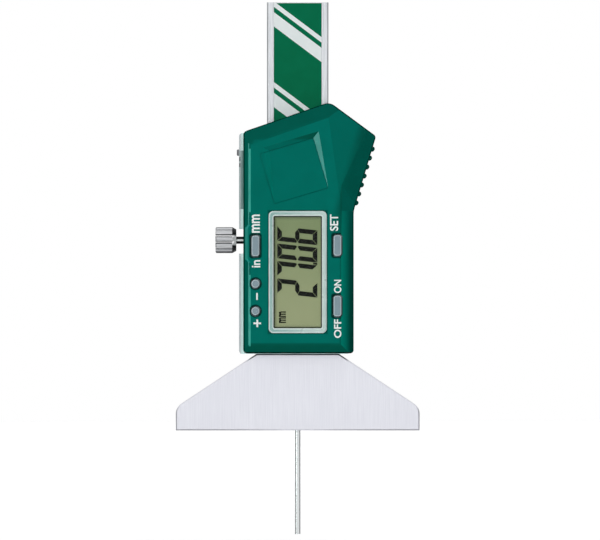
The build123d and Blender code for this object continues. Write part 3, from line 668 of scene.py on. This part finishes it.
def lock_metal():
    surface = Surface("lock_metal")
    up = surface.z - KNOB_AXIS
    radius = (surface.y * surface.y + up * up).root()
    skin = radius > KNOB_RADIUS - 2 * FLUTE_DEPTH
    dark_line, bright_line = flute_lines(surface, up, skin)
    upper = up.smooth(KNOB_RADIUS - UPPER_RIM, KNOB_RADIUS - UPPER_RIM + RIM_BLUR)
    under = (0 - up).smooth(KNOB_RADIUS - UNDER_RIM, KNOB_RADIUS - UNDER_RIM + RIM_BLUR)
    shoulder = surface.x > KNOB_SHOULDER
    shadow = shoulder * abs(up).smooth(SHADOW_START, SHADOW_END)
    neck = (radius < NECK_RADIUS) * (surface.x > KNOB_END)
    # Painted light and shade: sheen on the upper half, the flutes' reflections, shade on the rims and the
    # shoulder's shadow.
    layers = (
        (screen(232, 233, 236), skin * up.smooth(0, FADE_END) * KNOB_SHEEN),
        (screen(84, 86, 90), dark_line),
        (WHITE, bright_line),
        (screen(76, 78, 82), upper * UPPER_RIM_STRENGTH + under),
        (screen(246, 246, 248), shoulder - shadow),
        (screen(20, 21, 23), shadow),
        (screen(220, 226, 226), neck),
        (screen(6, 8, 9), neck * abs(surface.rise).smooth(*NECK_TURN)),
    )
    marks = surface.noise(KNOB_GRAIN, detail=4, stretch=SIDEWAYS)
    colour = blend(marks.smooth(*MARK_RANGE), screen(160, 162, 166), screen(212, 214, 216))
    for shade, mask in layers:
        colour = tint(colour, shade, mask)
    metal = KNOB_METAL - (shoulder - neck * shoulder) * SHOULDER_LOSS
    return surface.set(
        Base_Color=colour,
        Metallic=metal - bright_line * (1 - shoulder) * BRIGHT_LINE_LOSS,
        Roughness=0.24 + marks * KNOB_UNEVENNESS,
        Normal=surface.bump(marks, MARK_DEPTH, strength=0.5),
    )


dress(lock_metal(), "lock_screw")

# %% [markdown]
# ## Printed scale film
#
# Real beams carry a printed film over the scale. This one is green with plain silver stripes that lean
# across it. The stripes are worked out from the surface's place, so they stay sharp at any size and move
# with the beam. The ink has no mirror of its own, only a thin coat, or the lamps would bleach the green.

# %% Scale film
STRIPE_PITCH, STRIPE_START, STRIPE_LEAN = 21.0 * MM, 6.0 * MM, 0.75
BROAD_STRIPE, THIN_STRIPE = (1.5 * MM, 5.2 * MM), (6.6 * MM, 8.0 * MM)
FILM_CLOUD = 3 * MM


def scale_film():
    surface = Surface("scale_film")
    along = (surface.z + surface.x * STRIPE_LEAN + STRIPE_START) % STRIPE_PITCH
    broad, thin = ((along > low) * (along < high) for low, high in (BROAD_STRIPE, THIN_STRIPE))
    tone = surface.noise(FILM_CLOUD)
    green = blend(tone, screen(2, 106, 70), screen(5, 114, 78))
    silver = blend(tone, screen(228, 238, 238), screen(244, 248, 248))
    return surface.set(
        Base_Color=blend(broad + thin, green, silver),
        Roughness=0.3 + tone * UNEVENNESS,
        Specular_IOR_Level=0,
        Coat_Weight=0.06,
    )


dress(scale_film(), "scale_cover")

# %% [markdown]
# ## Keys
#
# The key caps are grey-blue plastic. Their rims get a paler painted highlight, and their sides, which go
# down into the openings, get painted shade. Both follow from the normal: a cap's crown faces the front,
# its rim leans, and its sides turn away.

# %% Key caps
CROWN_TURN, RIM_TURN, CAP_CLOUD = (0.8, 0.97), (0.2, 0.5), 2 * MM
CAP_DARK, CAP_LIGHT = screen(124, 144, 153), screen(140, 160, 169)
CAP_RIM_HIGHLIGHT, CAP_SIDE_SHADE = screen(196, 212, 218), screen(30, 36, 38)


def key_plastic():
    """Grey-blue caps with a painted highlight on the rim and painted shade on the sides down in their
    openings.
    """
    surface = Surface("key_plastic")
    cloud = surface.noise(CAP_CLOUD)
    crown = blend(cloud, CAP_DARK, CAP_LIGHT)
    # Painted highlight on the leaning rim, then painted shade on the sides that turn away.
    colour = blend(surface.facing.smooth(*CROWN_TURN), CAP_RIM_HIGHLIGHT, crown)
    colour = blend(surface.facing.smooth(*RIM_TURN), CAP_SIDE_SHADE, colour)
    return surface.set(Base_Color=colour, Roughness=0.4 + cloud * UNEVENNESS)


dress(key_plastic(), *KEYS)

# %% [markdown]
# ## Bezel
#
# The bezel is a silvered frame round the window. Its flat band takes a hint of green from the housing
# and is brighter to the right, where it mirrors the lamp, and its chamfers flash almost white. A mirror
# finish would need a whole room to reflect, so the tones are painted and little is left to reflections.

# %% Bezel silver
BAND_TURN, WEAR_RANGE, BAND_CLOUD = (0.8, 0.97), (0.4, 0.7), 2 * MM
BAND_LEFT, BAND_RIGHT = screen(138, 177, 172), screen(190, 212, 207)
CHAMFER_FLASH, BAND_WEAR = screen(240, 255, 252), screen(184, 206, 202)
window_low, window_high = (Vector(corner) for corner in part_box("lens"))


def bezel_silver():
    """Satin on the flat band, bright where the edges turn, and a little brighter to the right."""
    surface = Surface("bezel_silver")
    cloud = surface.noise(BAND_CLOUD)
    band = blend(surface.x.smooth(window_low.x, window_high.x), BAND_LEFT, BAND_RIGHT)
    colour = blend(surface.facing.smooth(*BAND_TURN), CHAMFER_FLASH, band)
    colour = tint(colour, BAND_WEAR, cloud.smooth(*WEAR_RANGE), strength=0.3)
    return surface.set(Base_Color=colour, Metallic=0.2, Roughness=0.24 + cloud * UNEVENNESS)


dress(bezel_silver(), "bezel")

# %% [markdown]
# ## Display panel
#
# The panel is a reflective one, grey-green, with no light of its own. It lies a little behind the window,
# so the bezel throws a soft shadow on its left, top and foot, which is painted here, and a thin line of
# painted shade runs all round the window's edge. Distance to the nearest window edge gives both.

# %% Display glass
EDGE_SHADE_WIDTH, SHADE, FOOT_SHADE_SHARE, RIPPLE = 0.35 * MM, 1.1 * MM, 1.5, 1.2 * MM
PANEL_FOOT, PANEL_TOP = screen(178, 187, 143), screen(148, 165, 120)
PANEL_SHADE, EDGE_SHADE_DARK = screen(92, 104, 82), screen(26, 32, 20)


def display_glass():
    """A reflective panel: greener at the top, paler at the foot, with the bezel's painted shadow and a
    line of painted shade round the window.
    """
    surface = Surface("display_glass")
    from_left, from_right = surface.x - window_low.x, window_high.x - surface.x
    from_foot, from_top = surface.z - window_low.z, window_high.z - surface.z
    nearest = from_left.least(from_right).least(from_foot.least(from_top))
    shaded_side = from_left.least(from_top.least(from_foot * FOOT_SHADE_SHARE))
    ripple = surface.noise(RIPPLE)
    colour = blend(surface.z.smooth(window_low.z, window_high.z), PANEL_FOOT, PANEL_TOP)
    # Painted shadow of the bezel, then a thin line of painted shade along the window's edge.
    colour = tint(colour, PANEL_SHADE, 1 - shaded_side.smooth(0, SHADE), strength=0.55)
    colour = tint(colour, EDGE_SHADE_DARK, 1 - nearest.smooth(0, EDGE_SHADE_WIDTH))
    return surface.set(Base_Color=colour, Roughness=0.42 + ripple * UNEVENNESS, Specular_IOR_Level=0.2)


dress(display_glass(), "lcd_panel")

# %% [markdown]
# ## Clear lens
#
# The window is clear acrylic. Real refraction would need many light bounces for a sheet this thin, so the
# lens is nearly transparent instead, with just enough of a dark tint and haze to catch a reflection.

# %% Lens
HAZE_SIZE, HAZE_STRENGTH, LENS_TINT = 2 * MM, 0.02, (0.03, 0.04, 0.03, 1)


def clear_lens():
    surface = Surface("clear_lens")
    haze = surface.noise(HAZE_SIZE, detail=1)
    return surface.set(Base_Color=LENS_TINT, Alpha=0.05 + haze * HAZE_STRENGTH, Roughness=0.08)


dress(clear_lens(), "lens")

# %% [markdown]
# ## Boards, chip and rubber strips
#
# These are hidden while the caliper is closed, and each still gets its own finish, so that the model
# also looks right when someone opens it. One recipe for plastic is enough, with other colours and grains.

# %% Inner plastics
PLASTIC_CLOUD = 3 * MM


def plastic(name, tones, roughness, grain=0.12 * MM):
    """Plastic with a fine grain and a faint cloud between two tones."""
    surface = Surface(name)
    texture = surface.noise(grain)
    return surface.set(
        Base_Color=blend(surface.noise(PLASTIC_CLOUD), *tones),
        Roughness=roughness + texture * UNEVENNESS,
        Normal=surface.bump(texture, SPARK_DEPTH, strength=0.3),
    )


solder_resist = (screen(12, 92, 48), screen(20, 108, 58))
grating = (screen(60, 96, 50), screen(140, 120, 70))
chip_black = (screen(28, 28, 30), screen(38, 38, 40))
rubber = (screen(20, 20, 22), screen(70, 70, 72))
dress(plastic("circuit_board", solder_resist, roughness=0.35), "main_board")
dress(plastic("grating_board", grating, roughness=0.4, grain=0.4 * MM), "scale_strip")
dress(plastic("chip_black", chip_black, roughness=0.55), "controller_chip")
dress(plastic("conductive_rubber", rubber, roughness=0.7, grain=0.1 * MM), "lcd_connectors")

# %% [markdown]
# ## Battery, springs and small metal parts
#
# The metal pieces inside use the steel recipe again. Brass is the same recipe with yellow tones, because
# a metal's colour is all that its shader knows of what it is made of.

# %% Inner metals
bright = (screen(190, 192, 196), screen(222, 224, 226))
brass = (screen(186, 150, 84), screen(222, 190, 120))
dress(steel("part_metal", bright, roughness=0.3, grain=0.2 * MM), "board_parts", "key_switches")
dress(steel("cell_steel", bright, roughness=0.2, grain=0.3 * MM, stretch=SIDEWAYS), "battery")
dress(steel("spring_brass", brass, roughness=0.3, grain=0.2 * MM), "contact_minus", "contact_plus")
dress(steel("gib_brass", brass, roughness=0.35, grain=0.3 * MM), "gib_strip")

# %% [markdown]
# ## Ink and flat shapes
#
# The display's digits and the words beside the keys are flat shapes a few hundredths of a millimetre in
# front of what carries them. Real print and display segments have no thickness to speak of, and a thin
# sheet with its own matt ink is sharper than any texture. Each sheet rides on the body that it is on.

# %% Ink
INK_CLOUD, PRINT_LIFT, INK_LIFT = 1 * MM, 0.02 * MM, 0.03 * MM


def ink(name, colour, shade):
    """Matt ink with a faint cloud of a second shade."""
    surface = Surface(name)
    tone = tint(colour, shade, surface.noise(INK_CLOUD, detail=1), strength=0.2)
    return surface.set(Base_Color=tone, Roughness=0.5, Specular_IOR_Level=0.1)


def add_piece(name, mesh, material, body):
    """Puts a mesh with its material in the scene, riding on a body."""
    mesh.materials.clear()
    mesh.materials.append(material)
    piece = bpy.data.objects.new(name, mesh)
    bpy.context.collection.objects.link(piece)
    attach(piece, body)


display_ink = ink("display_ink", screen(4, 6, 4), screen(16, 18, 14))
white_print = ink("white_print", screen(250, 253, 252), screen(238, 246, 243))
front_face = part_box("housing")[0][1]
print_depth, ink_depth = front_face - PRINT_LIFT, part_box("lcd_panel")[0][1] - INK_LIFT
print("print at y", round(print_depth / MM, 2), "mm, display ink at", round(ink_depth / MM, 2), "mm")

# %% [markdown]
# ## Segments of a digit
#
# The panel shows seven-segment digits. A segment is a thin bar with pointed ends, so that neighbours meet
# in a fine gap. Three outlines are enough, for an end, a side and the middle, and the other four are
# those turned over. A font would have other joints between its bars.

# %% Segments
DIGIT_WIDTH, DIGIT_HEIGHT = 3.85 * MM, 10.4 * MM
SEGMENT, SEGMENT_GAP = 1.2 * MM, 0.07 * MM
HALF_WIDTH, HALF_HEIGHT = DIGIT_WIDTH / 2, DIGIT_HEIGHT / 2
OUTER, INNER = HALF_WIDTH - SEGMENT_GAP, HALF_WIDTH - SEGMENT
SIDE_TOP, SIDE_LOW = HALF_HEIGHT - SEGMENT_GAP, SEGMENT_GAP
TIP, HALF_BAR = OUTER - SEGMENT / 4, (SEGMENT - SEGMENT_GAP) / 2

end_bar = [
    (-OUTER, HALF_HEIGHT),
    (OUTER, HALF_HEIGHT),
    (OUTER - SEGMENT, HALF_HEIGHT - SEGMENT),
    (SEGMENT - OUTER, HALF_HEIGHT - SEGMENT),
]
side_bar = [
    (HALF_WIDTH, SIDE_TOP),
    (HALF_WIDTH, SIDE_LOW + SEGMENT / 4),
    (HALF_WIDTH - SEGMENT / 4, SIDE_LOW),
    (INNER, SIDE_LOW + SEGMENT / 2),
    (INNER, SIDE_TOP - SEGMENT),
]
middle_bar = [
    (-TIP, 0),
    (-INNER, HALF_BAR),
    (INNER, HALF_BAR),
    (TIP, 0),
    (INNER, -HALF_BAR),
    (-INNER, -HALF_BAR),
]
print("segment", round(SEGMENT / MM, 2), "mm wide, digit", round(DIGIT_HEIGHT / MM, 2), "mm high")

# %% [markdown]
# ## Numerals
#
# A digit is a choice of its seven segments, which display makers call a to g. So a numeral needs only the
# letters of the segments that it lights, and the whole row leans a little, as on most displays.


# %% Numerals
def flipped(outline, sideways, upwards):
    """An outline turned over where a factor is -1."""
    return [(x * sideways, y * upwards) for x, y in outline]


BARS = {
    "a": end_bar,
    "b": side_bar,
    "c": flipped(side_bar, 1, -1),
    "d": flipped(end_bar, 1, -1),
    "e": flipped(side_bar, -1, -1),
    "f": flipped(side_bar, -1, 1),
    "g": middle_bar,
}
LIT = {"0": "abcdef", "2": "abdeg", "6": "acdefg", "7": "abc"}
DIGIT_PITCH, DIGIT_LEAN = 4.53 * MM, 0.11
first_digit = Vector((37.07 * MM, 0.1 * MM))


def placed(outline, place):
    """An outline, leaning with the row, at a place counted in digits from the first."""
    centre = first_digit + Vector((place * DIGIT_PITCH, 0))
    return [(centre.x + x + y * DIGIT_LEAN, centre.y + y) for x, y in outline]


print("numerals:", ", ".join(LIT))

# %% [markdown]
# ## The reading
#
# The row reads upwards, with the tops of the digits to the left, because the caliper is read held
# sideways. All its outlines go into one mesh, since they are one display and always move together.

# %% Reading
READING, POINT_PLACE = "2706", 1.5
POINT_WIDTH, POINT_HEIGHT = 0.45 * MM, 1.1 * MM


def upward_sheet(name, outlines, y, material, body):
    """One mesh of flat outlines in (along, up) places. Along runs up the beam, up runs to the left."""
    points, faces = [], []
    for outline in outlines:
        faces.append(list(range(len(points), len(points) + len(outline))))
        points += [(-up, y, along) for along, up in outline]
    mesh = bpy.data.meshes.new(name)
    mesh.from_pydata(points, [], faces)
    add_piece(name, mesh, material, body)


point_low, point_high = -HALF_HEIGHT, POINT_HEIGHT - HALF_HEIGHT
point = [
    (-POINT_WIDTH / 2, point_low),
    (POINT_WIDTH / 2, point_low),
    (POINT_WIDTH / 2, point_high),
    (-POINT_WIDTH / 2, point_high),
]
outlines = [placed(BARS[bar], place) for place, numeral in enumerate(READING) for bar in LIT[numeral]]
outlines.append(placed(point, POINT_PLACE))
upward_sheet("display_reading", outlines, ink_depth, display_ink, "slider_unit")
print("display outlines:", len(outlines))

# %% [markdown]
# ## Words
#
# The words beside the keys read upwards too. Blender's text object gives clean letter outlines. It is
# turned into a mesh and fitted to the height and length that the word has on the housing, which is
# simpler than hunting for the font's exact size.


# %% Text as a mesh
def word(name, text, low, high, y, material, body, weight):
    """Flat text that reads upwards and fills the box between two (x, z) corners, in millimetres."""
    curve = bpy.data.curves.new(name, "FONT")
    curve.body = text
    curve.offset = weight
    maker = bpy.data.objects.new(name, curve)
    bpy.context.collection.objects.link(maker)
    mesh = bpy.data.meshes.new_from_object(maker.evaluated_get(bpy.context.evaluated_depsgraph_get()))
    bpy.data.objects.remove(maker)
    xs = [vertex.co.x for vertex in mesh.vertices]
    ys = [vertex.co.y for vertex in mesh.vertices]
    along_scale = (high[1] - low[1]) * MM / (max(xs) - min(xs))
    up_scale = (high[0] - low[0]) * MM / (max(ys) - min(ys))
    for vertex in mesh.vertices:
        along = (vertex.co.x - min(xs)) * along_scale + low[1] * MM
        up = (vertex.co.y - min(ys)) * up_scale
        vertex.co = (high[0] * MM - up, y, along)
    add_piece(name, mesh, material, body)


print("a word is fitted to its box along and up")

# %% [markdown]
# ## Print on the housing and the display
#
# Each word has its own box, measured on the housing, because printers space them by eye. The white ones
# name the keys, and the dark one on the display is the unit of the reading. A little weight is added to
# the letters, as ink spreads.

# %% Print
WORDS = (
    ("word_mm", "mm", (-11.9, 51.4), (-9.8, 56.1)),
    ("word_in", "in", (-11.9, 42.4), (-9.7, 44.3)),
    ("word_minus", "-", (-10.75, 34.0), (-10.35, 35.8)),
    ("word_plus", "+", (-11.45, 26.95), (-9.5, 28.9)),
    ("word_set", "SET", (8.35, 51.9), (10.5, 56.15)),
    ("word_on", "ON", (9.4, 35.8), (11.3, 39.2)),
    ("word_off", "OFF", (9.4, 24.15), (11.3, 28.95)),
)
UNIT_LOW, UNIT_HIGH = (-4.9, 28.0), (-3.05, 31.0)
WORD_WEIGHT, UNIT_WEIGHT = 0.02, 0.035
for name, text, low, high in WORDS:
    word(name, text, low, high, print_depth, white_print, "slider_unit", WORD_WEIGHT)
word("display_unit", "mm", UNIT_LOW, UNIT_HIGH, ink_depth, display_ink, "slider_unit", UNIT_WEIGHT)
print("words:", ", ".join(text for _, text, _, _ in WORDS))

# %% [markdown]
# ## White that doesn't light
#
# A studio shot of a small tool has a pure white ground. More light would do that, and would bleach the
# caliper as well. So floor and surround are white only to the camera and to what metal and glass show,
# which the Light Path node can tell from light that falls on a surface.


# %% Rays
def seen_white(tree):
    """1 for the camera and in what metal and glass show, 0 for light that falls on a surface."""
    start = Socket(tree, None)
    camera_ray, glossy_ray, clear_ray = (
        start.add("LightPath", output=f"Is {kind} Ray") for kind in ("Camera", "Glossy", "Transmission")
    )
    return camera_ray.most(glossy_ray.most(clear_ray))


print("rays that see white: camera, glossy, transmission")

# %% [markdown]
# ## Floor
#
# The caliper stands over white paper, which keeps its shadow. Beside the caliper, shiny faces see the
# floor as dark, like the black cards that a photographer puts next to metal to give it an edge.

# %% Paper floor
FLOOR_SIZE, FLOOR_GLOW, FLOOR_CLOUD = 3.0, 0.55, 30 * MM
PAPER, PALE_PAPER = (0.86, 0.86, 0.87, 1), (0.9, 0.9, 0.9, 1)
CARD_SIDES, CARD_DARKNESS = (0.75, 0.95), 0.75


def pale_floor():
    surface = Surface("pale_floor")
    colour = blend(surface.noise(FLOOR_CLOUD), PAPER, PALE_PAPER)
    radius = (surface.x * surface.x + surface.y * surface.y).root()
    beside = (abs(surface.x) / radius).smooth(*CARD_SIDES)
    dark_card = beside * surface.place.add("LightPath", output="Is Glossy Ray") * CARD_DARKNESS
    surface.set(Base_Color=tint(colour, BLACK, dark_card), Roughness=0.8)
    tree = surface.material.node_tree
    shown = seen_white(tree) * (1 - dark_card)
    glow = shown.add("Emission", Color=WHITE, Strength=shown * FLOOR_GLOW)
    lit = Socket(tree, surface.shader.outputs[0])
    feed(tree.nodes["Material Output"].inputs["Surface"], lit.add("AddShader", i0=lit, i1=glow))
    return surface.material


bpy.ops.mesh.primitive_plane_add(size=FLOOR_SIZE, location=(0, 0, cad_box[0][2]))
floor = bpy.context.active_object
floor.name = "floor"
floor.data.materials.append(pale_floor())
print("floor at z", round(floor.location.z / MM, 2), "mm")

# %% [markdown]
# ## Surround
#
# The surround is white in the same way, and as a light it has a third of that strength. Metal in an all
# white room looks flat, so for shiny faces the surround is dimmed where it lies behind the caliper and
# low, which gives knob and rod their dark edges.

# %% Surround
AMBIENT = 0.33
AHEAD, ABOVE, DIMMING = (-0.2, 0.8), (0.2, 0.7), 0.8
world = bpy.data.worlds.new("surround")
world.use_nodes = True
bpy.context.scene.world = world
sky = world.node_tree
sky.nodes.clear()
shown = seen_white(sky)
glossy = shown.add("LightPath", output="Is Glossy Ray")
direction = shown.add("TexCoord", output="Generated")
ahead = (0 - shown.add("SeparateXYZ", output="Y", Vector=direction)).smooth(*AHEAD)
above = shown.add("SeparateXYZ", output="Z", Vector=direction).smooth(*ABOVE)
dimmed = glossy * (1 - ahead) * (1 - above) * DIMMING
background = shown.add("Background", Color=WHITE, Strength=AMBIENT + shown * (1 - AMBIENT) - dimmed)
feed(sky.nodes.new("ShaderNodeOutputWorld").inputs["Surface"], background)
print("surround lights with", AMBIENT, "of the white that it shows")

# %% [markdown]
# ## Lamps
#
# Two large soft lamps light the caliper, one from the front and one from behind, and don't show in its
# metal. A third one, a small strip at the left, works the other way round: it shows as a reflection
# only, and gives the left bevel its glint without lighting anything.

# %% Lamps
AIM = Vector((0, 0, 0.04))
COOL_WHITE = (0.85, 1, 0.98)


def softbox(name, place, width, height, power, reflection_only=False, colour=(1, 1, 1)):
    """A soft rectangular lamp that points at the caliper."""
    lamp = bpy.data.lights.new(name, "AREA")
    lamp.color = colour
    lamp.shape = "RECTANGLE"
    lamp.size, lamp.size_y = width, height
    lamp.energy = power
    holder = bpy.data.objects.new(name, lamp)
    holder.location = place
    holder.rotation_mode = "QUATERNION"
    holder.rotation_quaternion = (AIM - Vector(place)).to_track_quat("-Z", "Y")
    holder.visible_glossy = reflection_only
    holder.visible_diffuse = not reflection_only
    bpy.context.collection.objects.link(holder)
    print(name, power, "W")


softbox("front_softbox", (-0.35, -1.3, 0.25), width=0.35, height=0.35, power=8)
softbox(
    "left_strip",
    (-0.49, -0.34, 0.035),
    width=0.14,
    height=0.12,
    power=0.25,
    reflection_only=True,
    colour=COOL_WHITE,
)
softbox("back_softbox", (0.5, 1.2, 0.7), width=0.6, height=0.6, power=5)

# %% [markdown]
# ## Camera
#
# The photograph looks straight at the display from far away. A long lens at two metres gives that flat
# look. The picture is 600 pixels wide, with 3.86 pixels to the millimetre, and the depth rod's axis and
# the foot's datum face are at known pixels, which fixes where the camera points.

# %% Camera
PICTURE_WIDTH, PICTURE_HEIGHT = 600, 540
PIXELS_PER_METRE = 3860
ROD_COLUMN, DATUM_ROW = 297.7, 431.1
CAMERA_DISTANCE, CLIP_START, CLIP_END = 2.0, 0.1, 20
SENSOR = 36.0
centre_x = (PICTURE_WIDTH / 2 - ROD_COLUMN) / PIXELS_PER_METRE
centre_z = (DATUM_ROW - PICTURE_HEIGHT / 2) / PIXELS_PER_METRE
data = bpy.data.cameras.new("camera")
data.sensor_width = SENSOR
data.lens = SENSOR * CAMERA_DISTANCE / (PICTURE_WIDTH / PIXELS_PER_METRE)
data.clip_start, data.clip_end = CLIP_START, CLIP_END
camera = bpy.data.objects.new("camera", data)
camera.location = (centre_x, front_face - CAMERA_DISTANCE, centre_z)
camera.rotation_euler = (math.radians(90), 0, 0)
bpy.context.collection.objects.link(camera)
bpy.context.scene.camera = camera
bpy.context.scene.view_settings.view_transform = "Standard"
print("lens", round(data.lens), "mm at", CAMERA_DISTANCE, "m")
